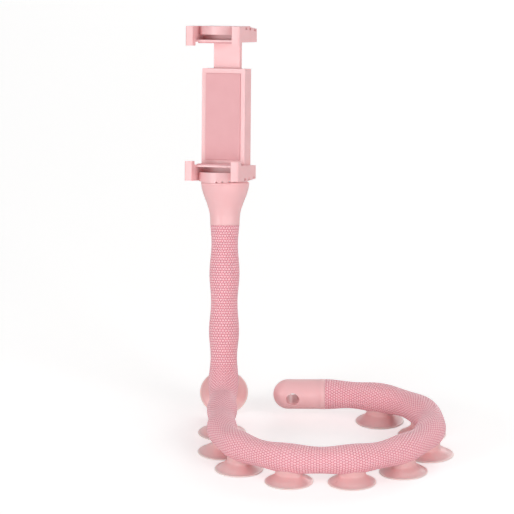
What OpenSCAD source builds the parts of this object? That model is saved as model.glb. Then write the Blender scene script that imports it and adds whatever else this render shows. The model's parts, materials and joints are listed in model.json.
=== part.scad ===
// Flexible phone holder: a bendable arm on suction cups with a sprung clamp on a swivel.
// Millimetres, +Z up. The arm's loop lies flat on ten cups, and the column leans back.

/* [Arm] */
// Radius of the arm between two bulges
arm_neck_r = 8.3; // [7:0.1:9]
// Radius of the arm at a bulge
arm_bulge_r = 9.4; // [9:0.1:11]
// Radius of the metal core
core_r = 3; // [2:0.1:4]
// Room between the core and what it goes into
core_gap = 0.3; // [0.2:0.05:0.5]
// Depth of the core's ends in the cap and in the neck
core_seat = 11; // [8:1:12]
// Straight run of the arm behind the foot, before it turns up
foot_run = 12.6; // [10:0.2:20]
// Radius of the bend from the floor into the column
foot_bend_r = 24; // [20:1:40]
// Lean of the column away from upright
lean = 18; // [10:1:25]
// Direction in which the column leans: 90 is straight back
foot_heading = 88.5; // [80:0.5:100]
// Arm length from the foot to the cup in the bend
bend_pitch = 31.4; // [28:0.2:36]
// Arm length from the cup in the bend to the first free bulge
first_pitch = 32; // [30:1:40]
// Arm length between the free bulges of the column
column_pitch = 36; // [30:1:42]
// Arm length from the last bulge to the neck
last_run = 29.8; // [24:0.2:36]
// Mean distance between two cups along the loop
cup_pitch = 35.5; // [33:0.5:38]

/* [Suction cups] */
// Radius of a cup's rim
cup_r = 15; // [12:0.5:15.5]
// Height of the arm's axis over the cups' rims
cup_stand = 15.3; // [14:0.1:17]
// Thickness of the rim
cup_rim_t = 0.7; // [0.5:0.1:1]
// Radius of the collar that joins a cup to the arm
cup_collar_r = 8.6; // [7:0.1:9]
// Width of the collar across the arm
cup_collar_w = 12.8; // [11:0.1:14]
// Depth of the hollow under a cup
cup_hollow = 2.2; // [1.5:0.1:2.4]
// Thickness of the glue between a cup's saddle and the arm
cup_seat_gap = 0.3; // [0.2:0.05:0.4]

/* [Tail cap] */
// Length of the cap
cap_l = 32; // [30:1:36]
// Radius of the cap
cap_r = 9.2; // [9:0.1:10]
// Radius of the cross hole
cap_hole_r = 3.9; // [3:0.1:4.5]
// Distance of the cross hole from the tip
cap_hole_x = 12; // [10:0.5:13]
// Turn of the cap on the arm: the cross hole's front end dips by it
cap_roll = 3; // [0:1:20]

/* [Neck] */
// Length of the neck
neck_l = 27; // [24:0.2:32]
// Radius of the neck's mouth
mouth_r = 14.9; // [14:0.1:16]
// Radius of the neck at the arm
neck_end_r = 9.1; // [9:0.1:9.8]
// Radius of the round insert that closes the mouth
insert_r = 12; // [10:0.1:12.4]
// Thickness of the insert
insert_t = 5.7; // [4:0.1:7]
// Depth of the insert's top under the mouth's edge
insert_drop = 0.8; // [0.6:0.1:1.2]

/* [Swivel] */
// Radius of the swivel post
post_r = 3.5; // [2.5:0.1:4]
// Radial running clearance of the post in the insert
post_fit = 0.05; // [0.02:0.01:0.1]
// Radius of the post's flange
flange_r = 6.5; // [5:0.1:8]
// Depth of the groove for the retaining ring
groove_d = 0.5; // [0.3:0.1:0.8]
// Thickness of the friction washer and of the retaining ring
ring_t = 1; // [0.6:0.1:1.2]
// Width of the friction washer's face
washer_w = 2.7; // [2:0.1:3]
// Gap between faces that turn past each other
turn_gap = 0.3; // [0.2:0.05:0.4]
// Gap between the clamp's underside and the neck's mouth
clamp_gap = 0.6; // [0.5:0.1:1]
// Turn of the clamp on the neck, as it stands
clamp_yaw = -26; // [-45:1:45]

/* [Jaws] */
// Width over the fingers
jaw_w = 37.7; // [36:0.1:44]
// Distance of the fingers' front face from the swivel's axis
front_y = 19; // [17:0.1:20]
// Distance of the clamp's back face from the swivel's axis
back_y = 6; // [6:0.1:8]
// Height of a jaw up to its gripping face
jaw_h = 9.8; // [9:0.1:12]
// Reach of the finger tips over the phone's face
lip_h = 2.4; // [1.5:0.1:4]
// Thickness of the finger tips, front to back
lip_t = 4; // [3:0.1:4.5]
// Width of a finger
finger_w = 5.2; // [5:0.1:7]
// Radius of the fingers' outer front edge
finger_round = 1.2; // [1:0.1:3]
// Length of a finger's rear part, whose sides step in and whose outer face slopes
rear_l = 12; // [8:0.5:14]
// How far the sides of the rear part step in
side_step = 0.7; // [0.3:0.1:1.2]
// Rise of the outer face over the rear part
rear_rise = 1.5; // [0.5:0.1:2]
// Outer radius of the round front wall between the fingers
wall_r = 16.6; // [16.5:0.1:17]
// Thickness of the front wall
wall_t = 1.2; // [1:0.1:1.3]
// Height of the front wall
wall_h = 5.2; // [4:0.1:6]
// How far the lower front wall bows down past its sides
wall_bow = 1.2; // [0:0.1:1.5]
// Thickness of a jaw's floor behind the wall
floor_t = 1; // [0.8:0.1:1.6]
// Thickness of the gripping plate
grip_t = 1.3; // [1:0.1:2]
// Thickness of the soft pads on the gripping faces
pad_t = 0.8; // [0.5:0.1:1.2]
// Width of a notch in the jaw's edge
notch_w = 1.3; // [0.8:0.1:2]
// Depth of a notch
notch_d = 0.8; // [0.4:0.1:1.2]
// Distance between two notches in front
notch_pitch = 3.7; // [3:0.1:5]
// Distance of the middle notch in front from the clamp's middle
notch_x = 6; // [0:0.5:8]
// Distance between two notches at the side
side_pitch = 6.5; // [5:0.1:7]

/* [Clamp] */
// Opening between the gripping faces, as it stands
opening = 76.2; // [62:0.2:88]
// Smallest opening
opening_min = 60; // [56:1:62]
// Largest opening
opening_max = 90; // [88:1:92]
// Width of the clamp's body
body_w = 30; // [28:0.5:34]
// Distance of the back pad's face from the swivel's axis
rest_y = 4.2; // [3.8:0.1:5]
// Thickness of the back pad
back_pad_t = 0.8; // [0.5:0.1:1.2]
// Thickness of the face plate
face_t = 1.6; // [1.2:0.1:2]
// Wall of the body behind the tongue
body_wall = 2; // [1.5:0.1:2.5]
// Radius of the body's back edges
body_round = 1.5; // [0.8:0.1:1.6]
// Width of the upper jaw's tongue
tongue_w = 18; // [16:0.5:18.5]
// Thickness of the tongue
tongue_t = 3; // [2:0.1:3.2]
// Length of the tongue under the upper jaw
tongue_l = 46; // [44:1:50]
// Clearance of the tongue in its guides
slide_gap = 0.3; // [0.2:0.05:0.4]
// Radius of a screw's shank
screw_r = 1; // [0.8:0.05:1.2]
// Radius of a screw's head
screw_head_r = 1.7; // [1.5:0.1:1.9]
// Height of a screw's head
screw_head_h = 1.2; // [1:0.1:1.6]

/* [Springs] */
// Outer radius of a spring's coils
coil_r = 1.1; // [0.9:0.05:1.2]
// Radius of the spring's wire
wire_r = 0.28; // [0.2:0.02:0.3]
// Turns of a spring
coil_turns = 12; // [8:1:16]
// Distance of a spring from the clamp's middle
spring_x = 6; // [4:0.5:7]
// Height of a spring's lower lug over the floor of the body's pocket
lug_rise = 4; // [3:0.5:8]
// Distance of the tongue's lugs from its lower end
tongue_lug = 14; // [12:0.5:14]
// Thickness of a lug
lug_t = 1.6; // [1.2:0.1:2]

/* [Hidden] */
$fn = 48;

// The loop as runs of even bend from the foot to the cap: arm length in cup pitches, turn to the left
LOOP_SHAPE = [
    [0.93, 3], [0.9, 36], [1.07, 35], [1.1, 31], [1.04, 32], [0.96, 31], [1.01, 41], [1.01, 40], [0.98, 22]
];
LOOP = [for (run = LOOP_SHAPE) [run[0] * cup_pitch, run[1]]];
// Sides and ring spacing of the swept arm
ARM_SIDES = 20;
ARM_STEP = 3.8;
CORE_SIDES = 8;
SPRING_SIDES = 5;
SPRING_STEPS = 8;
EPS = 0.01;
// How far shapes of one piece run into each other
BITE = 0.5;

BODY_PINK = "#f3b8be";
SOFT_PINK = "#e9a9b4";
CUP_PINK = "#dba7aa";
STEEL = "#b9bcc0";

// The arm's path, measured along the arm from the foot: up the column is positive
function last(list) = list[len(list) - 1];
function step_run(k, run) =
    let (radius = run[0] * 180 / (PI * run[1]), turned = k[2] + run[1])
    [k[0] + radius * (sin(turned) - sin(k[2])), k[1] - radius * (cos(turned) - cos(k[2])), turned];
LOOP_KNOTS = [
    for (i = 0, k = [0, 0, foot_heading - 180]; i <= len(LOOP); k = i < len(LOOP) ? step_run(k, LOOP[i]) : k,
        i = i + 1) k
];
LOOP_MARKS = [for (i = 0, at = 0; i <= len(LOOP); at = at + (i < len(LOOP) ? LOOP[i][0] : 0), i = i + 1) at];
function loop_frame(w) =
    let (i = min(len(LOOP) - 1, len([for (m = LOOP_MARKS) if (m <= w) m]) - 1),
         run = w - LOOP_MARKS[i],
         k = step_run(LOOP_KNOTS[i], [max(run, EPS), max(run, EPS) * LOOP[i][1] / LOOP[i][0]]))
    [[k[0], k[1], cup_stand], 0, k[2] + 180];
// Past the loop's last run the tail is straight
LOOP_L = last(LOOP_MARKS);
function tail_frame(w) =
    let (end = loop_frame(LOOP_L - EPS), h = end[2], over = w - LOOP_L)
    [end[0] - over * [cos(h), sin(h), 0], 0, h];
BEND_L = foot_bend_r * PI * (90 - lean) / 180;
function behind_foot(out, up) = [out * cos(foot_heading), out * sin(foot_heading), cup_stand + up];
function bend_point(v) = behind_foot(foot_run + foot_bend_r * sin(v), foot_bend_r * (1 - cos(v)));
function column_frame(u) =
    let (over = u - foot_run - BEND_L, v = (u - foot_run) * 180 / (PI * foot_bend_r), top = 90 - lean)
    u <= foot_run ? [behind_foot(u, 0), 0, foot_heading]
    : over <= 0 ? [bend_point(v), v, foot_heading]
    : [bend_point(top) + over * [sin(lean) * cos(foot_heading), sin(lean) * sin(foot_heading), cos(lean)],
        top, foot_heading];
function arm_frame(u) = u >= 0 ? column_frame(u) : -u <= LOOP_L ? loop_frame(-u) : tail_frame(-u);

// Places along the arm
CAP_U = -LOOP_L;
BEND_CUP_U = bend_pitch;
BULGE_1_U = BEND_CUP_U + first_pitch;
BULGE_2_U = BULGE_1_U + column_pitch;
NECK_U = BULGE_2_U + last_run;
MOUTH_U = NECK_U + neck_l;
CUP_U = concat([for (i = [len(LOOP) - 1:-1:0]) -LOOP_MARKS[i]], [BEND_CUP_U]);

// Bulges: the arm is widest at each cup and at the two free bulges, and narrow halfway between
BULGE_TABLE = concat(
    [for (i = [len(LOOP):-1:0]) [-LOOP_MARKS[i], -i]],
    [[BEND_CUP_U, 1], [BULGE_1_U, 2], [BULGE_2_U, 3], [BULGE_2_U + column_pitch, 4]]
);
function arm_radius(u) = arm_neck_r + (arm_bulge_r - arm_neck_r) * pow(cos(180 * lookup(u, BULGE_TABLE)), 2);

// Height of a cup's dish, just under the arm's belly
CUP_DISH_Z = cup_stand - arm_bulge_r - 0.7;

// The clamp's heights over the neck's mouth
UNDER_Z = clamp_gap;
GRIP_Z = UNDER_Z + jaw_h;
UPPER_Z = GRIP_Z + opening;
TOP_Z = UPPER_Z + jaw_h;
BODY_TOP_Z = GRIP_Z + opening_min - slide_gap;
POCKET_Z = GRIP_Z + body_wall;
REAR_Y = back_y - rear_l;
FACE_FRONT_Y = -rest_y + back_pad_t;
POCKET_FRONT_Y = FACE_FRONT_Y + face_t;
TONGUE_Y = back_y - body_wall - slide_gap - tongue_t;
POCKET_W = tongue_w + 2 * slide_gap;
SPRING_Y = TONGUE_Y - slide_gap - coil_r;
LUG_Z = POCKET_Z + lug_rise;
TONGUE_LUG_Z = UPPER_Z - tongue_l + tongue_lug;
SCREW_X = POCKET_W / 2 + screw_head_r + 0.5;
SCREW_Z = [POCKET_Z + 4, BODY_TOP_Z - 5];

// The whole part's width and depth, so that its origin is the middle of its footprint
function head_point(p) =
    let (x = p[0] * cos(clamp_yaw) - p[1] * sin(clamp_yaw),
         y = p[0] * sin(clamp_yaw) + p[1] * cos(clamp_yaw),
         back = y * cos(lean) + p[2] * sin(lean),
         up = p[2] * cos(lean) - y * sin(lean),
         h = foot_heading)
    arm_frame(MOUTH_U)[0] + [x * sin(h) + back * cos(h), back * sin(h) - x * cos(h), up];
CLAMP_CORNERS = [
    for (x = [-jaw_w / 2, jaw_w / 2], y = [-front_y, back_y], z = [UNDER_Z, TOP_Z]) head_point([x, y, z])
];
FLOOR_CUPS = [for (i = [0:len(CUP_U) - 2]) arm_frame(CUP_U[i])[0]];
function low(axis) = min(concat([for (p = CLAMP_CORNERS) p[axis]], [for (p = FLOOR_CUPS) p[axis] - cup_r]));
function high(axis) = max(concat([for (p = CLAMP_CORNERS) p[axis]], [for (p = FLOOR_CUPS) p[axis] + cup_r]));
ORIGIN = [(low(0) + high(0)) / 2, (low(1) + high(1)) / 2, 0];

// Places its children on the arm: y runs along the arm towards the clamp, z away from the cups
module on_arm(u) {
    f = arm_frame(u);
    translate(f[0] - ORIGIN) rotate([f[1], 0, f[2] - 90]) children();
}

// Places its children on the neck's mouth: z runs up the neck's axis, y to the back
module on_neck() {
    on_arm(MOUTH_U) rotate([-90, 0, 0]) children();
}

module on_clamp() {
    on_neck() rotate([0, 0, clamp_yaw]) children();
}

// Points of a ring round the arm's axis
function arm_ring(u, radius, sides) =
    let (f = arm_frame(u), v = f[1], h = f[2])
    [for (i = [0:sides - 1])
        let (a = 360 * i / sides)
        f[0] - ORIGIN + radius * (cos(a) * [sin(h), -cos(h), 0]
            + sin(a) * [-cos(h) * sin(v), -sin(h) * sin(v), cos(v)])];

// A closed tube through rings of equal size, each a list of points
module skin(rings) {
    sides = len(rings[0]);
    count = len(rings);
    polyhedron(
        points = [for (ring = rings) each ring],
        faces = concat(
            [[for (i = [0:sides - 1]) i]],
            [[for (i = [sides - 1:-1:0]) (count - 1) * sides + i]],
            [for (j = [0:count - 2], i = [0:sides - 1])
                let (a = j * sides + i, b = j * sides + (i + 1) % sides)
                each [[a, a + sides, b], [b, a + sides, b + sides]]]
        )
    );
}

module arm_core() {
    from = CAP_U - core_seat;
    to = NECK_U + core_seat;
    rings = ceil((to - from) / (2 * ARM_STEP));
    color(STEEL)
    skin([for (i = [0:rings]) arm_ring(from + (to - from) * i / rings, core_r, CORE_SIDES)]);
}

module arm_sleeve() {
    count = 2 * ceil((NECK_U - CAP_U) / (2 * ARM_STEP));
    half = ARM_SIDES / 2;
    inside = (count + 1) * ARM_SIDES;
    function at(i) = CAP_U + (NECK_U - CAP_U) * i / count;
    // Faces of a tube's wall whose rings of n points start at the given point
    function wall(start, rings, n) = [
        for (j = [0:rings - 2], i = [0:n - 1])
            let (a = start + j * n + i, b = start + j * n + (i + 1) % n)
            each [[a, a + n, b], [b, a + n, b + n]]
    ];
    // Faces of a flat end, between an outer ring and an inner one with half as many points
    function end(outer, inner) = [
        for (i = [0:half - 1])
            let (a = outer + 2 * i, b = outer + (2 * i + 2) % ARM_SIDES, c = inner + i, d = inner + (i + 1) % half)
            each [[c, a, a + 1], [c, a + 1, d], [d, a + 1, b]]
    ];
    function flipped(faces) = [for (f = faces) [f[2], f[1], f[0]]];
    color(SOFT_PINK)
    polyhedron(
        points = concat(
            [for (i = [0:count]) each arm_ring(at(i), arm_radius(at(i)), ARM_SIDES)],
            [for (i = [0:2:count]) each arm_ring(at(i), core_r + core_gap, half)]
        ),
        faces = concat(
            wall(0, count + 1, ARM_SIDES),
            flipped(wall(inside, count / 2 + 1, half)),
            end(0, inside),
            flipped(end(count * ARM_SIDES, inside + count / 2 * half))
        )
    );
}

// Half a profile of the tail cap: radius against distance from the tip
function cap_profile() = concat(
    [for (a = [0:10:90]) [cap_r * sin(a), cap_r * (1 - cos(a))]],
    [[cap_r, cap_l - 0.4], [cap_r - 0.4, cap_l], [0, cap_l]]
);

module tail_cap() {
    color(BODY_PINK)
    on_arm(CAP_U) rotate([0, cap_roll, 0]) rotate([90, 0, 0]) translate([0, 0, cap_l]) mirror([0, 0, 1])
    difference() {
        rotate_extrude() polygon(cap_profile());
        translate([0, 0, cap_l - core_seat - core_gap]) cylinder(r = core_r + core_gap, h = core_seat + 1);
        translate([0, 0, cap_hole_x]) rotate([0, 90, 0])
            cylinder(r = cap_hole_r, h = 2 * cap_r + 2, center = true);
    }
}

// Half a profile of the neck's outside: a trumpet that opens smoothly to its mouth
function neck_profile() = concat(
    [[neck_end_r - 0.3, -neck_l], [neck_end_r, -neck_l + 0.3]],
    [for (t = [0:0.1:0.9])
        let (s = t * t * (3 - 2 * t))
        [neck_end_r + (mouth_r - neck_end_r) * s, -neck_l + 2 + (neck_l - 4) * (0.1 + 0.9 * t)]],
    [[mouth_r, -1.6], [mouth_r - 0.15, -0.5], [mouth_r - 0.6, 0]]
);

module neck_trumpet() {
    hollow_z = -insert_drop - insert_t;
    hollow_l = 2 * ring_t + 2 * turn_gap + 3;
    color(BODY_PINK)
    on_neck() difference() {
        rotate_extrude() polygon(concat([[0, -neck_l]], neck_profile(), [[0, 0]]));
        translate([0, 0, hollow_z]) cylinder(r = insert_r + 0.02, h = insert_t + insert_drop + 1);
        translate([0, 0, hollow_z - hollow_l]) cylinder(r = flange_r + 1.5, h = hollow_l + EPS);
        translate([0, 0, -neck_l - 1]) cylinder(r = core_r + core_gap, h = core_seat + core_gap + 1);
    }
}

module neck_insert() {
    color(BODY_PINK)
    on_neck() translate([0, 0, -insert_drop - insert_t])
    difference() {
        cylinder(r = insert_r, h = insert_t);
        translate([0, 0, -1]) cylinder(r = post_r + post_fit, h = insert_t + 2);
    }
}

// Half a profile of a suction cup's dish, from the rim's plane up to the collar
function cup_profile() = [
    [0, cup_hollow],
    [cup_r * 0.3, cup_hollow * 0.9],
    [cup_r * 0.6, cup_hollow * 0.6],
    [cup_r * 0.85, cup_hollow * 0.2],
    [cup_r - 0.7, 0],
    [cup_r, 0],
    [cup_r, cup_rim_t],
    [cup_r - 1.2, cup_rim_t + 0.4],
    [cup_collar_r + 2.2, CUP_DISH_Z - 2],
    [cup_collar_r + 0.8, CUP_DISH_Z - 0.9],
    [cup_collar_r - 0.2, CUP_DISH_Z],
    [0, CUP_DISH_Z]
];

module suction_cup(index) {
    color(CUP_PINK)
    on_arm(CUP_U[index]) translate([0, 0, -cup_stand]) difference() {
        union() {
            rotate_extrude() polygon(cup_profile());
            intersection() {
                translate([0, 0, cup_hollow + BITE]) cylinder(r = cup_collar_r, h = cup_stand - arm_bulge_r / 2 - cup_hollow);
                translate([-cup_collar_w / 2, -cup_r, 0]) cube([cup_collar_w, 2 * cup_r, cup_stand]);
            }
        }
        translate([0, 0, cup_stand]) rotate([90, 0, 0])
            cylinder(r = arm_bulge_r + cup_seat_gap, h = 4 * cup_r, center = true);
    }
}

module swivel_post() {
    ring_z = -insert_drop - insert_t - turn_gap - 2 * ring_t;
    color(STEEL)
    on_clamp() rotate_extrude() polygon([
        [0, ring_z - 1.5], [post_r - 0.5, ring_z - 1.5], [post_r, ring_z - 1], [post_r, ring_z],
        [post_r - groove_d, ring_z], [post_r - groove_d, ring_z + ring_t], [post_r, ring_z + ring_t],
        [post_r, turn_gap - insert_drop], [flange_r, turn_gap - insert_drop], [flange_r, UNDER_Z],
        [post_r - 0.5, UNDER_Z], [post_r - 0.5, UNDER_Z + jaw_h - 3], [0, UNDER_Z + jaw_h - 3]
    ]);
}

module friction_washer() {
    color(STEEL)
    on_clamp() translate([0, 0, -insert_drop - insert_t - turn_gap - ring_t])
    difference() {
        cylinder(r = post_r + washer_w, h = ring_t);
        translate([0, 0, -1]) cylinder(r = post_r + post_fit, h = ring_t + 2);
    }
}

module retaining_ring() {
    color(STEEL)
    on_clamp() translate([0, 0, -insert_drop - insert_t - turn_gap - 2 * ring_t])
    difference() {
        cylinder(r = post_r + washer_w - 0.8, h = ring_t);
        translate([0, 0, -1]) cylinder(r = post_r - groove_d + post_fit, h = ring_t + 2);
        translate([0, -0.7 * post_r, -1]) cube([2 * post_r + washer_w, 1.4 * post_r, ring_t + 2]);
    }
}

// Outline of a jaw seen from above: round at the fingers' outer front edges, stepped in at the rear
module jaw_outline() {
    side = jaw_w / 2;
    translate([-side, -front_y + finger_round]) square([jaw_w, front_y + REAR_Y - finger_round]);
    translate([-side + side_step, REAR_Y - BITE]) square([jaw_w - 2 * side_step, rear_l + BITE]);
    translate([-side + finger_round, -front_y]) square([jaw_w - 2 * finger_round, finger_round + EPS]);
    for (x = [-side + finger_round, side - finger_round]) translate([x, -front_y + finger_round])
        circle(r = finger_round);
}

// What is cut from a finger's rear part: the wedge that slopes its outer face, and the notches in its edge
module finger_rear_cut(side) {
    slope = rear_rise / rear_l;
    wedge_w = finger_w + 1;
    translate([side > 0 ? jaw_w / 2 - finger_w : -jaw_w / 2 - 1, REAR_Y, -jaw_h])
        rotate([90, 0, 90]) linear_extrude(wedge_w)
            polygon([[0, 0], [0, -1], [rear_l + 1, -1], [rear_l + 1, slope * (rear_l + 1)]]);
    for (i = [0:2])
        let (y = back_y - 3.4 - i * side_pitch, face = jaw_w / 2 - (y > REAR_Y ? side_step : 0))
        translate([side * face - notch_d, y, -jaw_h - 1])
            cube([2 * notch_d, 1.6 * notch_w, 1 + notch_d + slope * max(0, y - REAR_Y + notch_w)]);
}

// A jaw with its gripping face up at z = 0, its floor at z = -jaw_h and the swivel's axis at x = y = 0
module jaw(bow) {
    inner_w = jaw_w - 2 * finger_w;
    // the two fingers, which run to the back, and their tips
    difference() {
        union() {
            translate([0, 0, -jaw_h]) linear_extrude(jaw_h) jaw_outline();
            translate([0, 0, -BITE]) linear_extrude(lip_h + BITE) intersection() {
                jaw_outline();
                translate([-jaw_w, -front_y - 1]) square([2 * jaw_w, lip_t + 1]);
            }
        }
        // between the fingers the jaw is open in front of its round wall
        translate([-inner_w / 2, -front_y - 1, -jaw_h - 1])
            cube([inner_w, front_y - rest_y + 1, jaw_h + lip_h + 2]);
        for (side = [-1, 1]) finger_rear_cut(side);
    }
    // gripping plate
    translate([-inner_w / 2 - BITE, -front_y + lip_t + 0.6, -grip_t])
        cube([inner_w + 2 * BITE, front_y - lip_t - 0.6 - rest_y + BITE, grip_t]);
    // floor behind the wall
    intersection() {
        translate([-inner_w / 2 - BITE, -front_y, -jaw_h]) cube([inner_w + 2 * BITE, front_y - rest_y + BITE, floor_t]);
        translate([0, 0, -jaw_h - 1]) cylinder(r = wall_r - wall_t / 2, h = floor_t + 2);
    }
    // the round wall, whose lower edge can bow down
    intersection() {
        translate([-inner_w / 2 - BITE, -front_y, -jaw_h - bow - 1])
            cube([inner_w + 2 * BITE, front_y - rest_y + BITE, wall_h + bow + 1]);
        difference() {
            translate([0, 0, -jaw_h - bow - 2]) cylinder(r = wall_r, h = wall_h + bow + 4);
            translate([0, 0, -jaw_h - bow - 3]) cylinder(r = wall_r - wall_t, h = wall_h + bow + 6);
        }
        if (bow > 0) bow_shape(bow);
        else translate([-jaw_w, -2 * front_y, -jaw_h]) cube([2 * jaw_w, 3 * front_y, 2 * jaw_h]);
    }
}

// A drum that lies from front to back: its underside is the bowed lower edge of the front wall
module bow_shape(bow) {
    half = jaw_w / 2 - finger_w + BITE;
    radius = (half * half + bow * bow) / (2 * bow);
    difference() {
        translate([0, 0, radius - jaw_h - bow]) rotate([90, 0, 0])
            cylinder(r = radius, h = 4 * front_y, center = true, $fn = 96);
        for (i = [-1:1])
            let (x = notch_x + i * notch_pitch, edge = x * x / (2 * radius))
            translate([x - notch_w / 2, -front_y - 1, -jaw_h - bow - 1])
                cube([notch_w, front_y, 1 + edge + notch_d]);
    }
}

// A plate across the body, from one y to another, with rounded long edges at its back
module body_block(width, from_y, to_y, from_z, to_z, edge) {
    translate([0, 0, from_z]) linear_extrude(to_z - from_z) {
        translate([-width / 2, from_y]) square([width, to_y - from_y - edge]);
        translate([-width / 2 + edge, from_y]) square([width - 2 * edge, to_y - from_y]);
        for (side = [-1, 1]) translate([side * (width / 2 - edge), to_y - edge]) circle(r = edge);
    }
}

module clamp_body() {
    post_seat_r = post_r - 0.5 + 0.02;
    color(BODY_PINK)
    on_clamp() difference() {
        union() {
            translate([0, 0, GRIP_Z]) jaw(wall_bow);
            body_block(body_w, POCKET_FRONT_Y, back_y, GRIP_Z - BITE, BODY_TOP_Z, body_round);
        }
        // pocket for the tongue and the springs, open at the top and at the front
        translate([-POCKET_W / 2, POCKET_FRONT_Y - 1, POCKET_Z])
            cube([POCKET_W, back_y - body_wall - POCKET_FRONT_Y + 1, BODY_TOP_Z]);
        translate([0, 0, UNDER_Z - 1]) cylinder(r = post_seat_r, h = jaw_h - 2);
        for (side = [-1, 1], z = SCREW_Z) translate([side * SCREW_X, 0, z]) rotate([-90, 0, 0]) {
            translate([0, 0, -back_y]) cylinder(r = screw_r + 0.05, h = 3 * back_y, $fn = 24);
            translate([0, 0, back_y - screw_head_h - 0.2]) cylinder(r = screw_head_r + 0.1, h = 2, $fn = 32);
        }
    }
    color(BODY_PINK)
    on_clamp() for (side = [-1, 1])
        translate([side * spring_x - lug_t / 2, SPRING_Y - coil_r, LUG_Z - lug_t])
            cube([lug_t, back_y - body_wall - SPRING_Y + coil_r + BITE, lug_t]);
}

module face_plate() {
    color(BODY_PINK)
    on_clamp() difference() {
        translate([-body_w / 2, FACE_FRONT_Y, GRIP_Z]) cube([body_w, face_t, BODY_TOP_Z - GRIP_Z]);
        for (side = [-1, 1], z = SCREW_Z) translate([side * SCREW_X, POCKET_FRONT_Y + 1, z])
            rotate([90, 0, 0]) cylinder(r = screw_r, h = face_t * 0.75 + 1, $fn = 24);
    }
}

module back_pad() {
    margin = 3;
    color(SOFT_PINK)
    on_clamp() translate([-body_w / 2 + margin, -rest_y, GRIP_Z + margin])
        cube([body_w - 2 * margin, back_pad_t, BODY_TOP_Z - GRIP_Z - 2 * margin]);
}

module grip_pad() {
    inner_w = jaw_w - 2 * finger_w;
    translate([-inner_w / 2 + 1, -front_y + lip_t + 1.2, 0]) cube([inner_w - 2, front_y - lip_t - rest_y - 2.4, pad_t]);
}

module lower_grip_pad() {
    color(SOFT_PINK)
    on_clamp() translate([0, 0, GRIP_Z]) grip_pad();
}

module upper_grip_pad() {
    color(SOFT_PINK)
    on_clamp() translate([0, 0, UPPER_Z]) mirror([0, 0, 1]) grip_pad();
}

module upper_jaw() {
    color(BODY_PINK)
    on_clamp() {
        translate([0, 0, UPPER_Z]) mirror([0, 0, 1]) jaw(0);
        translate([-tongue_w / 2, TONGUE_Y, UPPER_Z - tongue_l]) cube([tongue_w, tongue_t, tongue_l + BITE]);
        for (side = [-1, 1])
            translate([side * spring_x - lug_t / 2, SPRING_Y - coil_r, TONGUE_LUG_Z])
                cube([lug_t, TONGUE_Y - SPRING_Y + coil_r + BITE, lug_t]);
    }
}

// A coil of wire that stands between two heights
module coil(from_z, to_z) {
    steps = coil_turns * SPRING_STEPS;
    mid_r = coil_r - wire_r;
    rise = to_z - from_z - 2 * wire_r;
    skin([for (i = [0:steps])
        let (a = 360 * i / SPRING_STEPS, z = from_z + wire_r + rise * i / steps)
        [for (k = [0:SPRING_SIDES - 1])
            let (b = -360 * k / SPRING_SIDES, r = mid_r + wire_r * cos(b))
            [r * cos(a), r * sin(a), z + wire_r * sin(b)]]]);
}

module spring(side) {
    color(STEEL)
    on_clamp() translate([side * spring_x, SPRING_Y, 0]) coil(LUG_Z, TONGUE_LUG_Z);
}

module spring_left() {
    spring(-1);
}

module spring_right() {
    spring(1);
}

module housing_screws() {
    reach = back_y - POCKET_FRONT_Y + face_t * 0.6;
    color(STEEL)
    on_clamp() for (side = [-1, 1], z = SCREW_Z)
        translate([side * SCREW_X, back_y - 0.2, z]) rotate([90, 0, 0]) rotate_extrude($fn = 32) polygon([
            [0, 0], [screw_head_r, 0], [screw_head_r, screw_head_h], [screw_r - 0.03, screw_head_h],
            [screw_r - 0.03, reach - 1], [0, reach - 0.4]
        ]);
}

arm_core();
arm_sleeve();
tail_cap();
neck_trumpet();
neck_insert();
suction_cup(0);  // suction_cup_1
suction_cup(1);  // suction_cup_2
suction_cup(2);  // suction_cup_3
suction_cup(3);  // suction_cup_4
suction_cup(4);  // suction_cup_5
suction_cup(5);  // suction_cup_6
suction_cup(6);  // suction_cup_7
suction_cup(7);  // suction_cup_8
suction_cup(8);  // suction_cup_9
suction_cup(9);  // suction_cup_10
swivel_post();
friction_washer();
retaining_ring();
clamp_body();
face_plate();
back_pad();
lower_grip_pad();
upper_jaw();
upper_grip_pad();
spring_left();
spring_right();
housing_screws();
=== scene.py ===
import json
from math import cos, degrees, pi, radians, sin, sqrt

import bpy
from mathutils import Matrix, Vector


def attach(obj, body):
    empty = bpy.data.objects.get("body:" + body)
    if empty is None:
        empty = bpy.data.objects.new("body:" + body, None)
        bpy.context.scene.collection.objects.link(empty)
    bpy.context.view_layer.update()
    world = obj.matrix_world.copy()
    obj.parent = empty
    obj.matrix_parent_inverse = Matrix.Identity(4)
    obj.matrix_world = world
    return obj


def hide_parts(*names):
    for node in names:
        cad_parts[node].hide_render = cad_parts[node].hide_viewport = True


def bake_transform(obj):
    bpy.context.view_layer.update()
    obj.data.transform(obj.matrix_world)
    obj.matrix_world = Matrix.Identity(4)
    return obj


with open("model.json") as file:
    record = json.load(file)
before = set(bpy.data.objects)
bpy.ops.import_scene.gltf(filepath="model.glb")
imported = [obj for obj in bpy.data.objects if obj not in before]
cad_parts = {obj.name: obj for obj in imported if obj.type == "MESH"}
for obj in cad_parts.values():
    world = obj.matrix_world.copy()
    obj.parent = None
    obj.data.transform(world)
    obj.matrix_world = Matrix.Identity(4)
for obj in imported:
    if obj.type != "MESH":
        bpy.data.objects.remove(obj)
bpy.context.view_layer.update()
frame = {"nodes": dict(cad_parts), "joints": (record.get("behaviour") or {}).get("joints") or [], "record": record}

MM = 0.001

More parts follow.
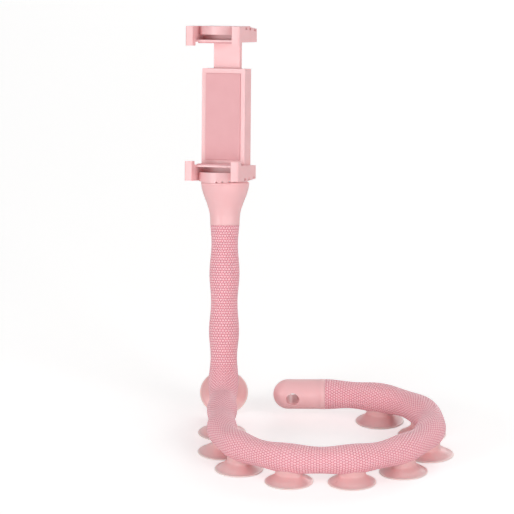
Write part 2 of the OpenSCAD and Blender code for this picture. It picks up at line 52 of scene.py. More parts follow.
# Sizes that the construction's source gives, in millimetres and degrees
ARM_NECK_R = 8.3
ARM_BULGE_R = 9.4
FOOT_RUN = 12.6
FOOT_BEND_R = 24.0
LEAN = 18.0
FOOT_HEADING = 88.5
COLUMN_MARKS = [31.4, 32.0, 36.0]
LAST_RUN = 29.8
CUP_R = 15.0
CUP_STAND = 15.3
CUP_COLLAR_R = 8.6
CUP_COLLAR_W = 12.8
CUP_PITCH = 35.5
CAP_L = 32.0
CAP_R = 9.2
CAP_HOLE_R = 3.9
CAP_HOLE_X = 12.0
CAP_ROLL = 3.0
NECK_L = 27.0
NECK_END_R = 9.1
MOUTH_R = 14.9
INSERT_R = 12.0
INSERT_DROP = 0.8
CLAMP_YAW = -26.0
JAW_HALF_W = 18.85
JAW_UNDER_Z = 0.6
JAW_TOP_Z = 96.4
BACK_Y = 6.0
REAR_Y = -6.0
REAR_SLOPE = 0.125
SIDE_STEP = 0.7
SIDE_PITCH = 6.5
SIDE_NOTCH_L = 2.08
# The loop's runs from the foot to the cap: arm length in cup pitches, turn to the left
LOOP_SHAPE = [
    (0.93, 3), (0.9, 36), (1.07, 35), (1.1, 31), (1.04, 32),
    (0.96, 31), (1.01, 41), (1.01, 40), (0.98, 22),
]
LOOP = [(share * CUP_PITCH, turn) for share, turn in LOOP_SHAPE]

# Camera: a long lens that looks down a little. The picture's side is in pixels, the
# sensor in millimetres, and the rest in metres.
PICTURE_SIDE = 514
SENSOR = 36.0
PIXELS_PER_M = 1620
CAMERA_DISTANCE = 8.0
CAMERA_CLIP = 30
CAMERA_ELEVATION = radians(20)
TARGET = Vector((-0.0380, 0.0200, 0.1060))


def deselect():
    """Leaves object mode with nothing selected."""
    if bpy.context.object and bpy.context.object.mode != "OBJECT":
        bpy.ops.object.mode_set(mode="OBJECT")
    bpy.ops.object.select_all(action="DESELECT")


def make_camera():
    """The photograph's view."""
    back = Vector((0, -cos(CAMERA_ELEVATION), sin(CAMERA_ELEVATION)))
    bpy.ops.object.camera_add(
        location=TARGET + CAMERA_DISTANCE * back, rotation=(pi / 2 - CAMERA_ELEVATION, 0, 0)
    )
    camera = bpy.context.object
    camera.data.lens = PIXELS_PER_M * CAMERA_DISTANCE / PICTURE_SIDE * SENSOR
    camera.data.sensor_width = SENSOR
    camera.data.clip_end = CAMERA_CLIP
    bpy.context.scene.camera = camera


deselect()
make_camera()


# Materials

# Colours in display values from 0 to 255: the two shades that each material drifts between
SHELL_SHADES = ((242, 188, 190), (245, 193, 195))
CUP_SHADES = ((236, 181, 181), (239, 186, 186))
CUP_RIM_COLOUR = (252, 216, 212)
PAD_SHADES = ((230, 170, 174), (232, 173, 177))
STEEL_SHADES = ((176, 178, 182), (198, 200, 203))
# The sleeve's colours: painted shade in its grooves and a painted highlight on its cells
SLEEVE_GROOVE_SHADE_AND_CELL_HIGHLIGHT = ((220, 124, 139), (246, 189, 197))
# Noise values between which a mottled colour goes from its first shade to its second
MOTTLE_SPAN = (0.35, 0.65)
# Heights in a cell, from 0 to 1, between which the sleeve's painted shade turns into its painted highlight
GROOVE_SPAN = (0.1, 0.9)


def new_material(name):
    """An empty node material and its principled shader."""
    material = bpy.data.materials.new(name)
    material.use_nodes = True
    return material, material.node_tree, material.node_tree.nodes["Principled BSDF"]


def linear(colour):
    """A colour given in display values, taken back by the standard curve."""
    def one(v):
        v /= 255
        return v / 12.92 if v <= 0.04045 else ((v + 0.055) / 1.055) ** 2.4
    return (*(one(v) for v in colour), 1)


def set_inputs(node, values):
    """Sets a node's inputs by name."""
    for name, value in values.items():
        node.inputs[name].default_value = value


def object_noise(tree, scale, detail=3.0):
    """Noise on the piece's own coordinates."""
    coord = tree.nodes.new("ShaderNodeTexCoord")
    noise = tree.nodes.new("ShaderNodeTexNoise")
    set_inputs(noise, {"Scale": scale, "Detail": detail})
    tree.links.new(coord.outputs["Object"], noise.inputs["Vector"])
    return noise.outputs["Fac"]


def own_attribute(tree, name):
    """The value that a piece's mesh carries under a name."""
    attribute = tree.nodes.new("ShaderNodeAttribute")
    attribute.attribute_name = name
    return attribute.outputs["Fac"]


def shade_ramp(tree, value, span, shades):
    """A colour that goes from one shade to the other as value goes through a span."""
    ramp = tree.nodes.new("ShaderNodeValToRGB")
    for element, position, colour in zip(ramp.color_ramp.elements, span, shades):
        element.position = position
        element.color = linear(colour)
    tree.links.new(value, ramp.inputs["Fac"])
    return ramp.outputs["Color"]


def mottle(tree, shades, scale):
    """A colour that drifts between two close shades."""
    return shade_ramp(tree, object_noise(tree, scale), MOTTLE_SPAN, shades)


def fine_bump(tree, shader, scale, strength, distance):
    """A fine surface grain."""
    bump = tree.nodes.new("ShaderNodeBump")
    set_inputs(bump, {"Strength": strength, "Distance": distance})
    tree.links.new(object_noise(tree, scale, detail=2.0), bump.inputs["Height"])
    tree.links.new(bump.outputs["Normal"], shader.inputs["Normal"])


def varied_roughness(tree, shader, low, high, scale):
    """Roughness that drifts a little over the surface."""
    span = tree.nodes.new("ShaderNodeMapRange")
    set_inputs(span, {"To Min": low, "To Max": high})
    tree.links.new(object_noise(tree, scale), span.inputs["Value"])
    tree.links.new(span.outputs["Result"], shader.inputs["Roughness"])


def soft_inside(shader, weight, depths):
    """Lets light scatter under the surface, over depths in metres."""
    set_inputs(shader, {
        "Subsurface Weight": weight, "Subsurface Radius": depths, "Subsurface Scale": 1.0,
    })


def shell_plastic():
    """Satin moulded plastic of the clamp, the neck and the tail cap."""
    material, tree, shader = new_material("shell_plastic")
    colour = mottle(tree, SHELL_SHADES, scale=60)
    tree.links.new(colour, shader.inputs["Base Color"])
    varied_roughness(tree, shader, low=0.34, high=0.42, scale=240)
    soft_inside(shader, weight=0.12, depths=(0.004, 0.0015, 0.0015))
    set_inputs(shader, {"Coat Weight": 0.12, "Coat Roughness": 0.25})
    fine_bump(tree, shader, scale=2400, strength=0.08, distance=0.00005)
    return material


def sleeve_silicone():
    """Smooth silicone of the arm: painted shade in its grooves, a painted highlight on its cells."""
    material, tree, shader = new_material("sleeve_silicone")
    # painted shade in the grooves and a painted highlight on the cell tops, by cell height
    colour = shade_ramp(tree, own_attribute(tree, "cell_height"), GROOVE_SPAN, SLEEVE_GROOVE_SHADE_AND_CELL_HIGHLIGHT)
    tree.links.new(colour, shader.inputs["Base Color"])
    varied_roughness(tree, shader, low=0.22, high=0.28, scale=300)
    soft_inside(shader, weight=0.1, depths=(0.003, 0.001, 0.001))
    set_inputs(shader, {"Specular IOR Level": 0.9})
    fine_bump(tree, shader, scale=3000, strength=0.1, distance=0.00005)
    return material


def cup_silicone():
    """Smooth, slightly clear silicone of the suction cups, paler at the rim."""
    material, tree, shader = new_material("cup_silicone")
    mix = tree.nodes.new("ShaderNodeMix")
    mix.data_type = "RGBA"
    mix.inputs["B"].default_value = linear(CUP_RIM_COLOUR)
    colour = mottle(tree, CUP_SHADES, scale=90)
    tree.links.new(colour, mix.inputs["A"])
    tree.links.new(own_attribute(tree, "rim"), mix.inputs["Factor"])
    tree.links.new(mix.outputs["Result"], shader.inputs["Base Color"])
    varied_roughness(tree, shader, low=0.25, high=0.34, scale=200)
    soft_inside(shader, weight=0.35, depths=(0.005, 0.002, 0.002))
    return material


def pad_rubber():
    """Soft rubber of the pads."""
    material, tree, shader = new_material("pad_rubber")
    colour = mottle(tree, PAD_SHADES, scale=120)
    tree.links.new(colour, shader.inputs["Base Color"])
    varied_roughness(tree, shader, low=0.55, high=0.68, scale=300)
    fine_bump(tree, shader, scale=2000, strength=0.2, distance=0.00008)
    return material


def plain_steel():
    """Plain steel of the core, pins, screws and springs."""
    material, tree, shader = new_material("plain_steel")
    colour = mottle(tree, STEEL_SHADES, scale=300)
    tree.links.new(colour, shader.inputs["Base Color"])
    varied_roughness(tree, shader, low=0.28, high=0.4, scale=500)
    set_inputs(shader, {"Metallic": 1.0})
    return material


SHELL = shell_plastic()
SLEEVE = sleeve_silicone()
CUP = cup_silicone()
PAD = pad_rubber()
STEEL = plain_steel()

SLOT_MATERIALS = {
    "shell": SHELL, "sleeve": SLEEVE, "cup": CUP, "pad": PAD, "steel": STEEL, "core_metal": STEEL,
}
NODE_SLOTS = {row["node"]: row["material_slot"] for row in frame["record"]["subparts"]}
for node, slot in NODE_SLOTS.items():
    mesh = frame["nodes"][node].data
    mesh.materials.clear()
    mesh.materials.append(SLOT_MATERIALS[slot])


# The arm's path, as the construction's source has it, measured along the arm from the foot

# A run's length and its distance from the loop's end never reach zero, in millimetres
SHORTEST_RUN = 1e-3
LOOP_END_GAP = 1e-6


def along_arc(start, length, turn):
    """The end of an arc that begins at start, in degrees and millimetres."""
    x, y, heading = start
    radius = length / radians(turn)
    a, b = radians(heading), radians(heading + turn)
    return (x + radius * (sin(b) - sin(a)), y - radius * (cos(b) - cos(a)), heading + turn)


def loop_knots():
    """Corner points of the loop's runs, as (x, y, heading), and their distances from the foot."""
    knots = [(0.0, 0.0, FOOT_HEADING - 180)]
    marks = [0.0]
    for length, turn in LOOP:
        knots.append(along_arc(knots[-1], length, turn))
        marks.append(marks[-1] + length)
    return knots, marks


KNOTS, MARKS = loop_knots()
LOOP_L = MARKS[-1]
BEND_L = FOOT_BEND_R * radians(90 - LEAN)
BEND_CUP_U = COLUMN_MARKS[0]
BULGE_1_U = BEND_CUP_U + COLUMN_MARKS[1]
BULGE_2_U = BULGE_1_U + COLUMN_MARKS[2]
NECK_U = BULGE_2_U + LAST_RUN
MOUTH_U = NECK_U + NECK_L
CAP_U = -LOOP_L
CUP_U = [-m for m in reversed(MARKS[:-1])] + [BEND_CUP_U]


def path_frame(u):
    """(point, pitch, heading) at a distance u up the arm, before the origin is moved."""
    if u < 0:
        w = min(-u, LOOP_L - LOOP_END_GAP)
        i = max(k for k, mark in enumerate(MARKS[:-1]) if mark <= w)
        run = max(w - MARKS[i], SHORTEST_RUN)
        x, y, heading = along_arc(KNOTS[i], run, run * LOOP[i][1] / LOOP[i][0])
        point = Vector((x, y, CUP_STAND))
        over = max(0.0, -u - LOOP_L)
        heading += 180
        point -= over * Vector((cos(radians(heading)), sin(radians(heading)), 0))
        return point, 0.0, heading
    out, up, pitch = u, 0.0, 0.0
    if u > FOOT_RUN:
        pitch = min(degrees((u - FOOT_RUN) / FOOT_BEND_R), 90 - LEAN)
        over = max(0.0, u - FOOT_RUN - BEND_L)
        out = FOOT_RUN + FOOT_BEND_R * sin(radians(pitch)) + over * sin(radians(LEAN))
        up = FOOT_BEND_R * (1 - cos(radians(pitch))) + over * cos(radians(LEAN))
    h = radians(FOOT_HEADING)
    return Vector((out * cos(h), out * sin(h), CUP_STAND + up)), pitch, FOOT_HEADING


# The row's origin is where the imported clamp's swivel says it is
SWIVEL = next(j for j in frame["joints"] if j["name"] == "head_turn")
ORIGIN = path_frame(MOUTH_U)[0] - Vector(SWIVEL["pos_m"]) / MM
ORIGIN.z = 0


def arm_axes(u):
    """(point, side, forward, up) at a distance u up the arm: up points away from the cups."""
    point, pitch, heading = path_frame(u)
    v, h = radians(pitch), radians(heading)
    side = Vector((sin(h), -cos(h), 0))
    forward = Vector((cos(h) * cos(v), sin(h) * cos(v), sin(v)))
    up = Vector((-cos(h) * sin(v), -sin(h) * sin(v), cos(v)))
    return point - ORIGIN, side, forward, up


# Distances up the arm at which it is widest, with their numbers in a row
BULGE_TABLE = [(-m, -i) for i, m in reversed(list(enumerate(MARKS)))]
BULGE_TABLE += [
    (BEND_CUP_U, 1), (BULGE_1_U, 2), (BULGE_2_U, 3), (BULGE_2_U + COLUMN_MARKS[2], 4),
]


def arm_radius(u):
    """The arm's radius: widest at each cup and at the free bulges."""
    u = min(max(u, BULGE_TABLE[0][0]), BULGE_TABLE[-1][0])
    for (a, i), (b, j) in zip(BULGE_TABLE, BULGE_TABLE[1:]):
        if u <= b:
            phase = i + (j - i) * (u - a) / (b - a)
            return ARM_NECK_R + (ARM_BULGE_R - ARM_NECK_R) * cos(pi * phase) ** 2
    return ARM_NECK_R


def arm_matrix(u):
    """Places a piece on the arm: its y runs up the arm, its z away from the cups."""
    point, side, forward, up = arm_axes(u)
    turn = Matrix((side, forward, up)).transposed().to_4x4()
    return Matrix.Translation(point * MM) @ turn @ Matrix.Scale(MM, 4)


def clamp_matrix():
    """Places a piece on the clamp: its z runs up the clamp, its y to the clamp's back."""
    point, side, forward, up = arm_axes(MOUTH_U)
    turn = Matrix((side, -up, forward)).transposed().to_4x4()
    yaw = Matrix.Rotation(radians(CLAMP_YAW), 4, "Z")
    return Matrix.Translation(point * MM) @ turn @ yaw @ Matrix.Scale(MM, 4)


# Helpers for modelling


def select_only(piece):
    """Leaves object mode with one piece selected and active."""
    deselect()
    piece.select_set(True)
    bpy.context.view_layer.objects.active = piece


def start_edit():
    """Enters edit mode on the active piece, with everything selected."""
    bpy.ops.object.mode_set(mode="EDIT")
    bpy.ops.mesh.select_mode(type="FACE")
    bpy.ops.mesh.select_all(action="SELECT")


def face_outward():
    """In edit mode, turns every face of a piece outward."""
    bpy.ops.mesh.select_all(action="SELECT")
    bpy.ops.mesh.normals_make_consistent(inside=False)


def select_open_edges():
    """In edit mode, selects only the edges round a piece's open ends."""
    bpy.ops.mesh.select_all(action="DESELECT")
    bpy.ops.mesh.select_mode(type="EDGE")
    bpy.ops.mesh.select_non_manifold(
        use_wire=False, use_multi_face=False, use_non_contiguous=False, use_verts=False
    )


def end_edit():
    """Leaves edit mode."""
    bpy.ops.object.mode_set(mode="OBJECT")


def apply_modifier(piece, kind, **settings):
    """Adds a modifier, sets it and applies it."""
    select_only(piece)
    modifier = piece.modifiers.new(kind.lower(), kind)
    for key, value in settings.items():
        setattr(modifier, key, value)
    bpy.ops.object.modifier_apply(modifier=modifier.name)


def apply_boolean(piece, tool, operation):
    """Adds a tool's shape to a piece or cuts it away, and removes the tool."""
    apply_modifier(piece, "BOOLEAN", object=tool, operation=operation, solver="EXACT")
    bpy.data.objects.remove(tool)


def store_value(piece, name, values):
    """Keeps one value a vertex, for the piece's material."""
    attribute = piece.data.attributes.new(name, "FLOAT", "POINT")
    attribute.data.foreach_set("value", values)


def finish_piece(piece, name, material, body, node, angle):
    """Names, shades and hangs a finished piece, which stands for a node.

    Edges up to the angle are shaded round.
    """
    piece.name = name
    piece.data.materials.clear()
    piece.data.materials.append(material)
    select_only(piece)
    bpy.ops.object.shade_smooth_by_angle(angle=radians(angle))
    deselect()
    if body:
        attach(piece, body)
    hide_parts(node)


def turned(profile, sides):
    """A turned shape: a ring that is extruded and resized through (radius, height) steps."""
    deselect()
    radius, height = profile[0]
    bpy.ops.mesh.primitive_circle_add(
        vertices=sides, radius=radius, location=(0, 0, 0), fill_type="NGON"
    )
    piece = bpy.context.object
    start_edit()
    bpy.ops.transform.translate(value=(0, 0, height))
    for (r0, z0), (r1, z1) in zip(profile, profile[1:]):
        bpy.ops.mesh.extrude_region_move(TRANSFORM_OT_translate={"value": (0, 0, z1 - z0)})
        bpy.ops.transform.resize(value=(r1 / r0, r1 / r0, 1), center_override=(0, 0, z1))
    face_outward()
    end_edit()
    return piece


def smooth_curve(points, steps):
    """Catmull-Rom points through a short profile."""
    def between(a, b, c, d, t):
        square = (2 * a - 5 * b + 4 * c - d) * t * t
        cube = (3 * b - a - 3 * c + d) * t ** 3
        return 0.5 * (2 * b + (c - a) * t + square + cube)

    out = []
    padded = [points[0]] + list(points) + [points[-1]]
    for corners in zip(padded, padded[1:], padded[2:], padded[3:]):
        for k in range(steps):
            out.append(tuple(between(*values, k / steps) for values in zip(*corners)))
    out.append(tuple(points[-1]))
    return out


def held_share(distance, span):
    """A distance as a share of a span, held between 0 and 1."""
    return min(max(distance / span, 0), 1)


# Arm sleeve: raised cells in a honeycomb, wrapped on the bulging arm

CELLS_ROUND = 31
CELL_PITCH = 1.82
CELL_GROOVE = 0.42
# In cell widths: a cell's corner radius, the distance between two rows and a groove's half width
CELL_CORNER_R = 0.5 / cos(radians(30))
CELL_ROW = sin(radians(60))
CELL_INSET = 0.17
# As a share of the groove's depth, the height at which a cell's shallow dome begins
CELL_SHOULDER = 0.85
# Vertices of the cells closer than this are one, at the seam too, in metres
CELL_MERGE = 0.00002


def cell_sheet(columns, double_rows):
    """A flat sheet of raised cells, one unit wide each, not yet merged at their edges."""
    deselect()
    cells = []
    for x, y in ((0, 0), (0.5, CELL_ROW)):
        bpy.ops.mesh.primitive_circle_add(
            vertices=6, radius=CELL_CORNER_R, location=(0, 0, 0), fill_type="NGON"
        )
        cell = bpy.context.object
        cell.data.transform(Matrix.Translation((x, y, 0)))
        cells.append(cell)
    for cell in cells:
        cell.select_set(True)
    bpy.context.view_layer.objects.active = cells[0]
    bpy.ops.object.join()
    sheet = bpy.context.object
    start_edit()
    bpy.ops.mesh.inset(thickness=CELL_INSET, use_individual=True)
    bpy.ops.transform.translate(value=(0, 0, CELL_SHOULDER))
    bpy.ops.mesh.poke(offset=1 - CELL_SHOULDER)
    end_edit()
    for count, offset in ((columns, (1, 0, 0)), (double_rows, (0, 2 * CELL_ROW, 0))):
        apply_modifier(
            sheet, "ARRAY", count=count, use_relative_offset=False, use_constant_offset=True,
            constant_offset_displace=offset,
        )
    return sheet


def arm_sleeve_piece():
    """The textured sleeve, with a flat end at each side."""
    length = NECK_U - CAP_U
    double_rows = round(length / (2 * CELL_PITCH * CELL_ROW))
    sheet = cell_sheet(CELLS_ROUND, double_rows)
    span = (2 * double_rows - 1) * CELL_ROW
    heights = []
    for vertex in sheet.data.vertices:
        x, y, height = vertex.co
        u = CAP_U + held_share(y, span) * length
        angle = 2 * pi * x / CELLS_ROUND
        point, side, _, up = arm_axes(u)
        radius = arm_radius(u) - CELL_GROOVE * (1 - height)
        vertex.co = (point + radius * (cos(angle) * side + sin(angle) * up)) * MM
        heights.append(height)
    # the material paints shade in the grooves and a highlight on the cells from these heights
    store_value(sheet, "cell_height", heights)
    select_only(sheet)
    start_edit()
    bpy.ops.mesh.remove_doubles(threshold=CELL_MERGE)
    face_outward()
    select_open_edges()
    bpy.ops.mesh.fill()
    end_edit()
    finish_piece(sheet, "textured_sleeve", SLEEVE, "arm", "arm_sleeve", angle=60)


# Suction cups

# Heights between which a cup's round skirt turns into its oval collar
COLLAR_FROM = 2.6
COLLAR_FULL = 5.6
# A cup's (radius, height) steps: its hollow from the middle out, its edge, and up to the arm
CUP_HOLLOW = [(0.4, 2.2), (4.5, 2.0), (9.0, 1.3), (12.6, 0.45), (CUP_R - 0.7, 0.02)]
CUP_EDGE = [(CUP_R - 0.25, 0.0), (CUP_R, 0.2), (CUP_R, 0.5)]
CUP_SKIRT = [
    (CUP_R - 0.25, 0.72), (CUP_R - 1.4, 1.1), (12.3, 1.85), (10.8, 2.95), (9.6, 4.0),
    (8.9, 4.8), (CUP_COLLAR_R, 5.7), (CUP_COLLAR_R, 7.2), (CUP_COLLAR_R, 9.0),
]
# How far the collar's top sinks under the arm's skin
COLLAR_SINK = 0.15
# The pale rim begins this far inside the edge, and is full after the second length
RIM_W = 1.3
RIM_FADE = 0.9


def suction_cup_piece(index):
    """One cup, whose collar is narrower across the arm and follows its skin."""
    profile = smooth_curve(CUP_HOLLOW, steps=3) + CUP_EDGE + smooth_curve(CUP_SKIRT, steps=4)
    piece = turned(profile, sides=72)
    top = max(v.co.z for v in piece.data.vertices)
    skin = ARM_BULGE_R - CELL_GROOVE
    rim = []
    for vertex in piece.data.vertices:
        x, y, z = vertex.co
        rim.append(held_share(sqrt(x * x + y * y) - (CUP_R - RIM_W), RIM_FADE))
        blend = held_share(z - COLLAR_FROM, COLLAR_FULL - COLLAR_FROM)
        x *= 1 - (1 - CUP_COLLAR_W / 2 / CUP_COLLAR_R) * blend * blend * (3 - 2 * blend)
        if z > COLLAR_FULL:
            seat = CUP_STAND - sqrt(skin * skin - x * x) + COLLAR_SINK
            z = COLLAR_FULL + (z - COLLAR_FULL) * (seat - COLLAR_FULL) / (top - COLLAR_FULL)
        vertex.co = (x, y, z - CUP_STAND)
    store_value(piece, "rim", rim)
    piece.data.transform(arm_matrix(CUP_U[index]))
    finish_piece(piece, f"cup_{index + 1}", CUP, "arm", f"suction_cup_{index + 1}", angle=50)


# Tail cap

CAP_DOME_ANGLES = (1.5, *range(5, 90, 5))
CAP_BODY_Z = (CAP_R, 14, 20, 25)
# The raised ring at its open end: rise over the cap's skin, distance from the end
CAP_RING = [(0, 3.1), (0.06, 3.0), (0.16, 2.7), (0.18, 2.4), (0.18, 0.5), (0.1, 0.15), (-0.3, 0)]
# A mouth of the cross hole: rise over the hole's radius, height over the cap's skin
HOLE_MOUTH = [(1.2, 1.5), (0.35, 0), (0.12, -0.25), (0.03, -0.6), (0, -1.2)]


def tail_cap_piece():
    """The round-tipped cap with its cross hole, whose mouths are softened."""
    dome = [
        (CAP_R * sin(radians(a)), CAP_R * (1 - cos(radians(a)))) for a in CAP_DOME_ANGLES
    ]
    body = [(CAP_R, z) for z in CAP_BODY_Z]
    ring = [(CAP_R + rise, CAP_L - back) for rise, back in CAP_RING]
    piece = turned(dome + body + ring, sides=128)
    mouth = [(CAP_HOLE_R + rise, -(CAP_R + over)) for rise, over in HOLE_MOUTH]
    cutter = turned(mouth + [(r, -z) for r, z in reversed(mouth)], sides=96)
    cutter.data.transform(Matrix.Rotation(pi / 2, 4, "Y"))
    cutter.data.transform(Matrix.Translation((0, 0, CAP_HOLE_X)))
    apply_boolean(piece, cutter, "DIFFERENCE")
    # the cap's tip is at z = 0 here, and it lies past the arm's end
    piece.data.transform(Matrix.Translation((0, 0, -CAP_L)))
    piece.data.transform(Matrix.Rotation(-pi / 2, 4, "X"))
    piece.data.transform(Matrix.Rotation(radians(CAP_ROLL), 4, "Y"))
    piece.data.transform(arm_matrix(CAP_U))
    finish_piece(piece, "round_tail_cap", SHELL, "arm", "tail_cap", angle=40)


# Neck

# Its (radius, height) steps from the arm's end up, with the mouth's plane at height 0: the
# rounded foot, the flare, the low bead round the mouth, and the mouth inside down to the insert
NECK_FOOT = [(NECK_END_R - 0.5, -NECK_L), (NECK_END_R - 0.15, -NECK_L + 0.1)]
NECK_FLARE = [
    (NECK_END_R, -NECK_L + 0.4), (9.25, -22.5), (9.6, -19.5), (10.3, -16.5), (11.5, -13),
    (12.8, -9.7), (13.9, -6.6), (14.5, -4.2), (14.78, -2.4),
]
NECK_BEAD = [
    (MOUTH_R - 0.1, -2.2), (MOUTH_R + 0.04, -2.0), (MOUTH_R + 0.08, -1.5),
    (MOUTH_R + 0.04, -0.9), (MOUTH_R - 0.14, -0.4), (MOUTH_R - 0.5, -0.08),
    (MOUTH_R - 1.0, 0.0),
]
NECK_MOUTH = [
    (INSERT_R + 0.5, -0.1), (INSERT_R + 0.1, -0.5), (INSERT_R + 0.02, -INSERT_DROP - 1.5),
]


def neck_piece():
    """The trumpet, with its rounded lip and its open mouth."""
    profile = NECK_FOOT + smooth_curve(NECK_FLARE, steps=5) + NECK_BEAD + NECK_MOUTH
    piece = turned(profile, sides=128)
    piece.data.transform(Matrix.Rotation(-pi / 2, 4, "X"))
    piece.data.transform(arm_matrix(MOUTH_U))
    finish_piece(piece, "trumpet_neck", SHELL, "arm", "neck_trumpet", angle=50)


# Clamp pieces: copies of the solids, whose moulded edges are rounded

# Vertices of a copied solid closer than this are one, in metres
COPY_MERGE = 0.000005
# Faces within the first angle of each other are one, and edges over the second are rounded
FLAT_ANGLE = radians(1.5)
EDGE_ANGLE = radians(32)

# Each side of a jaw has three small windows near its outer edge, from back to front. The
# solid's shallow notches are filled there, and windows are cut behind a thin rim. Depth and
# reach are measured from the side's face in and out, and rises from the jaw's outer edge.
WINDOW_COUNT = 3
WINDOW_Y = BACK_Y - 3.4
NOTCH_FILL = {"operation": "UNION", "depth": 1.3, "reach": 0, "margin": 0.3, "rises": (0, 1.1)}
WINDOW_CUT = {
    "operation": "DIFFERENCE", "depth": 3.8, "reach": 1, "margin": 0.25, "rises": (0.45, 1.9),
}


def edge_box(top, x_span, y_span, rises):
    """A box that follows the slope of a jaw's outer edge, between two distances from that edge."""
    deselect()
    bpy.ops.mesh.primitive_cube_add(size=1, location=(0, 0, 0))
    box = bpy.context.object
    for vertex in box.data.vertices:
        spans = zip(vertex.co, (x_span, y_span, rises))
        x, y, z = (span[0] if c < 0 else span[1] for c, span in spans)
        z += JAW_UNDER_Z + REAR_SLOPE * max(0, y - REAR_Y)
        vertex.co = (x, y, JAW_TOP_Z + JAW_UNDER_Z - z if top else z)
    box.data.transform(clamp_matrix())
    start_edit()
    face_outward()
    end_edit()
    return box


def side_windows(piece, top, operation, depth, reach, margin, rises):
    """Fills or cuts the small windows near the outer edge of each side of a jaw."""
    for i in range(WINDOW_COUNT):
        y = WINDOW_Y - i * SIDE_PITCH
        face = JAW_HALF_W - (SIDE_STEP if y > REAR_Y else 0)
        for side in (-1, 1):
            x_span = sorted((side * (face - depth), side * (face + reach)))
            box = edge_box(top, x_span, (y - margin, y + SIDE_NOTCH_L + margin), rises)
            apply_boolean(piece, box, operation)


def merge_flat_faces(piece):
    """Joins the loose triangles of a copied solid into its flat faces."""
    select_only(piece)
    start_edit()
    bpy.ops.mesh.remove_doubles(threshold=COPY_MERGE)
    bpy.ops.mesh.dissolve_limited(angle_limit=FLAT_ANGLE)
    end_edit()


def rounded_copy(node, name, material, body, width, segments):
    """A copy of a node's solid with its sharp edges rounded, which stands for the node."""
    deselect()
    piece = bpy.data.objects.new(name, frame["nodes"][node].data.copy())
    bpy.context.scene.collection.objects.link(piece)
    merge_flat_faces(piece)
    has_windows = node in ("clamp_body", "upper_jaw")
    top = node == "upper_jaw"
    if has_windows:
        side_windows(piece, top, **NOTCH_FILL)
        merge_flat_faces(piece)
    apply_modifier(
        piece, "BEVEL", width=width * MM, segments=segments, limit_method="ANGLE",
        angle_limit=EDGE_ANGLE,
    )
    if has_windows:
        side_windows(piece, top, **WINDOW_CUT)
    finish_piece(piece, name, material, body, node, angle=40)
    # the large faces stay flat and only the rounded edges are shaded round
    apply_modifier(piece, "WEIGHTED_NORMAL", mode="FACE_AREA", weight=50, keep_sharp=True)


# Springs

SPRING_TURNS = 12
SPRING_COIL_R = 1.1
SPRING_WIRE_R = 0.28
SPRING_WIRE_SIDES = 10
SPRING_STEPS = 24
# The length in from each end at which two points are worked out, which nothing uses
SPRING_HOLD = 1


def spring_piece(node, name):
    """A coiled spring in the place of the node's spring."""
    to_clamp = clamp_matrix().inverted()
    corners = [to_clamp @ vertex.co for vertex in frame["nodes"][node].data.vertices]
    x, y = [(min(c[i] for c in corners) + max(c[i] for c in corners)) / 2 for i in (0, 1)]
    low, high = min(c.z for c in corners), max(c.z for c in corners)
    wire_place = (SPRING_COIL_R - SPRING_WIRE_R, 0, low + SPRING_WIRE_R)
    deselect()
    bpy.ops.mesh.primitive_circle_add(
        vertices=SPRING_WIRE_SIDES, radius=SPRING_WIRE_R, location=(0, 0, 0)
    )
    piece = bpy.context.object
    piece.data.transform(Matrix.Rotation(pi / 2, 4, "X"))
    piece.data.transform(Matrix.Translation(wire_place))
    apply_modifier(
        piece, "SCREW", axis="Z", angle=2 * pi, steps=SPRING_STEPS, render_steps=SPRING_STEPS,
        iterations=SPRING_TURNS, screw_offset=(high - low - 2 * SPRING_WIRE_R) / SPRING_TURNS,
    )
    start_edit()
    select_open_edges()
    bpy.ops.mesh.edge_face_add()
    face_outward()
    end_edit()
    piece.data.transform(Matrix.Translation((x, y, 0)))
    piece.data.transform(clamp_matrix())
    finish_piece(piece, name, STEEL, None, node, angle=50)
    held = (low + SPRING_HOLD, high - SPRING_HOLD)
    start, end = (clamp_matrix() @ Vector((x, y, z)) for z in held)
    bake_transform(piece)


# The pieces

arm_sleeve_piece()
for cup_index in range(len(CUP_U)):
    suction_cup_piece(cup_index)
tail_cap_piece()
neck_piece()
rounded_copy("clamp_body", "moulded_clamp_body", SHELL, "clamp", width=0.3, segments=2)
rounded_copy("upper_jaw", "moulded_upper_jaw", SHELL, "jaw", width=0.3, segments=2)
rounded_copy("face_plate", "moulded_face_plate", SHELL, "clamp", width=0.25, segments=2)
rounded_copy("back_pad", "soft_back_pad", PAD, "clamp", width=0.3, segments=3)
rounded_copy("lower_grip_pad", "soft_lower_grip", PAD, "clamp", width=0.25, segments=3)
rounded_copy("upper_grip_pad", "soft_upper_grip", PAD, "jaw", width=0.25, segments=3)
spring_piece("spring_left", "coil_spring_left")
spring_piece("spring_right", "coil_spring_right")


# Stage and light

FLOOR_SIDE = 8
FLOOR_COLOUR = (0.88, 0.875, 0.87, 1)
WHITE = (1, 1, 1, 1)
# How much brighter the camera sees the floor
FLOOR_LIFT = 0.38
# Strength of the surround as light on the object, and as the camera and reflections see it
SURROUND_LIGHT = 0.4
SURROUND_SEEN = 1.0
# Softboxes: name, place, what it aims at and side in metres, watts
LAMPS = [
    ("key", (-1.4, -0.9, 0.45), (0, 0, 0.12), 0.7, 9),
    ("front", (-0.1, -1.7, 0.4), (0, 0, 0.1), 0.5, 4),
    ("fill", (1.05, -1.2, 0.65), (0, 0, 0.12), 0.9, 10),
    ("back", (0.6, 1.5, 0.9), (0, 0, 0.1), 1.0, 6),
]


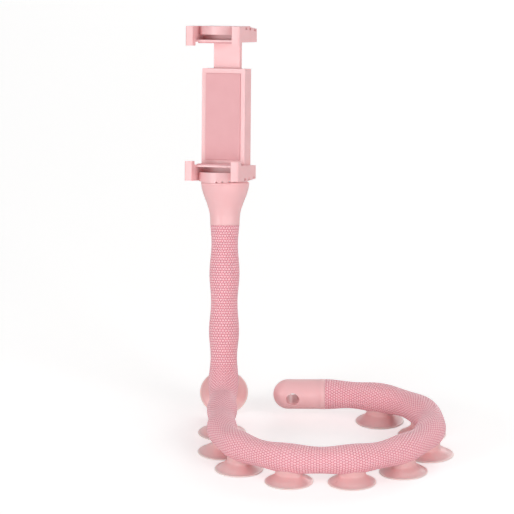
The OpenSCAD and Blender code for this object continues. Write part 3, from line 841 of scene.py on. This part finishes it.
def floor_material():
    """Pale floor, brighter to the camera, so that it runs into the white behind it."""
    material, tree, shader = new_material("pale_floor")
    set_inputs(shader, {
        "Base Color": FLOOR_COLOUR, "Roughness": 0.7, "Emission Color": WHITE,
    })
    rays = tree.nodes.new("ShaderNodeLightPath")
    lift = tree.nodes.new("ShaderNodeMath")
    lift.operation = "MULTIPLY"
    lift.inputs[1].default_value = FLOOR_LIFT
    tree.links.new(rays.outputs["Is Camera Ray"], lift.inputs[0])
    tree.links.new(lift.outputs[0], shader.inputs["Emission Strength"])
    return material


def make_stage():
    """A plain pale floor."""
    deselect()
    bpy.ops.mesh.primitive_plane_add(size=FLOOR_SIDE, location=(0, 0, 0))
    floor = bpy.context.object
    floor.name = "floor"
    floor.data.materials.append(floor_material())


def area_light(name, place, aim, size, watts):
    """A square softbox."""
    deselect()
    place = Vector(place)
    turn = (Vector(aim) - place).to_track_quat("-Z", "Y").to_euler()
    bpy.ops.object.light_add(type="AREA", location=place, rotation=turn)
    lamp = bpy.context.object
    lamp.name = name
    lamp.data.shape = "SQUARE"
    lamp.data.size = size
    lamp.data.energy = watts


def make_light():
    """Soft studio light, and a white surround that the camera and reflections see."""
    for lamp in LAMPS:
        area_light(*lamp)
    world = bpy.data.worlds.new("surround")
    bpy.context.scene.world = world
    world.use_nodes = True
    nodes, links = world.node_tree.nodes, world.node_tree.links
    plain = nodes["Background"]
    set_inputs(plain, {"Color": WHITE, "Strength": SURROUND_LIGHT})
    white = nodes.new("ShaderNodeBackground")
    set_inputs(white, {"Color": WHITE, "Strength": SURROUND_SEEN})
    rays = nodes.new("ShaderNodeLightPath")
    seen = rays.outputs["Is Camera Ray"]
    for kind in ("Is Glossy Ray", "Is Transmission Ray"):
        either = nodes.new("ShaderNodeMath")
        either.operation = "MAXIMUM"
        links.new(seen, either.inputs[0])
        links.new(rays.outputs[kind], either.inputs[1])
        seen = either.outputs[0]
    mix = nodes.new("ShaderNodeMixShader")
    links.new(seen, mix.inputs[0])
    links.new(plain.outputs[0], mix.inputs[1])
    links.new(white.outputs[0], mix.inputs[2])
    links.new(mix.outputs[0], nodes["World Output"].inputs["Surface"])
    bpy.context.scene.view_settings.view_transform = "Standard"


make_stage()
make_light()
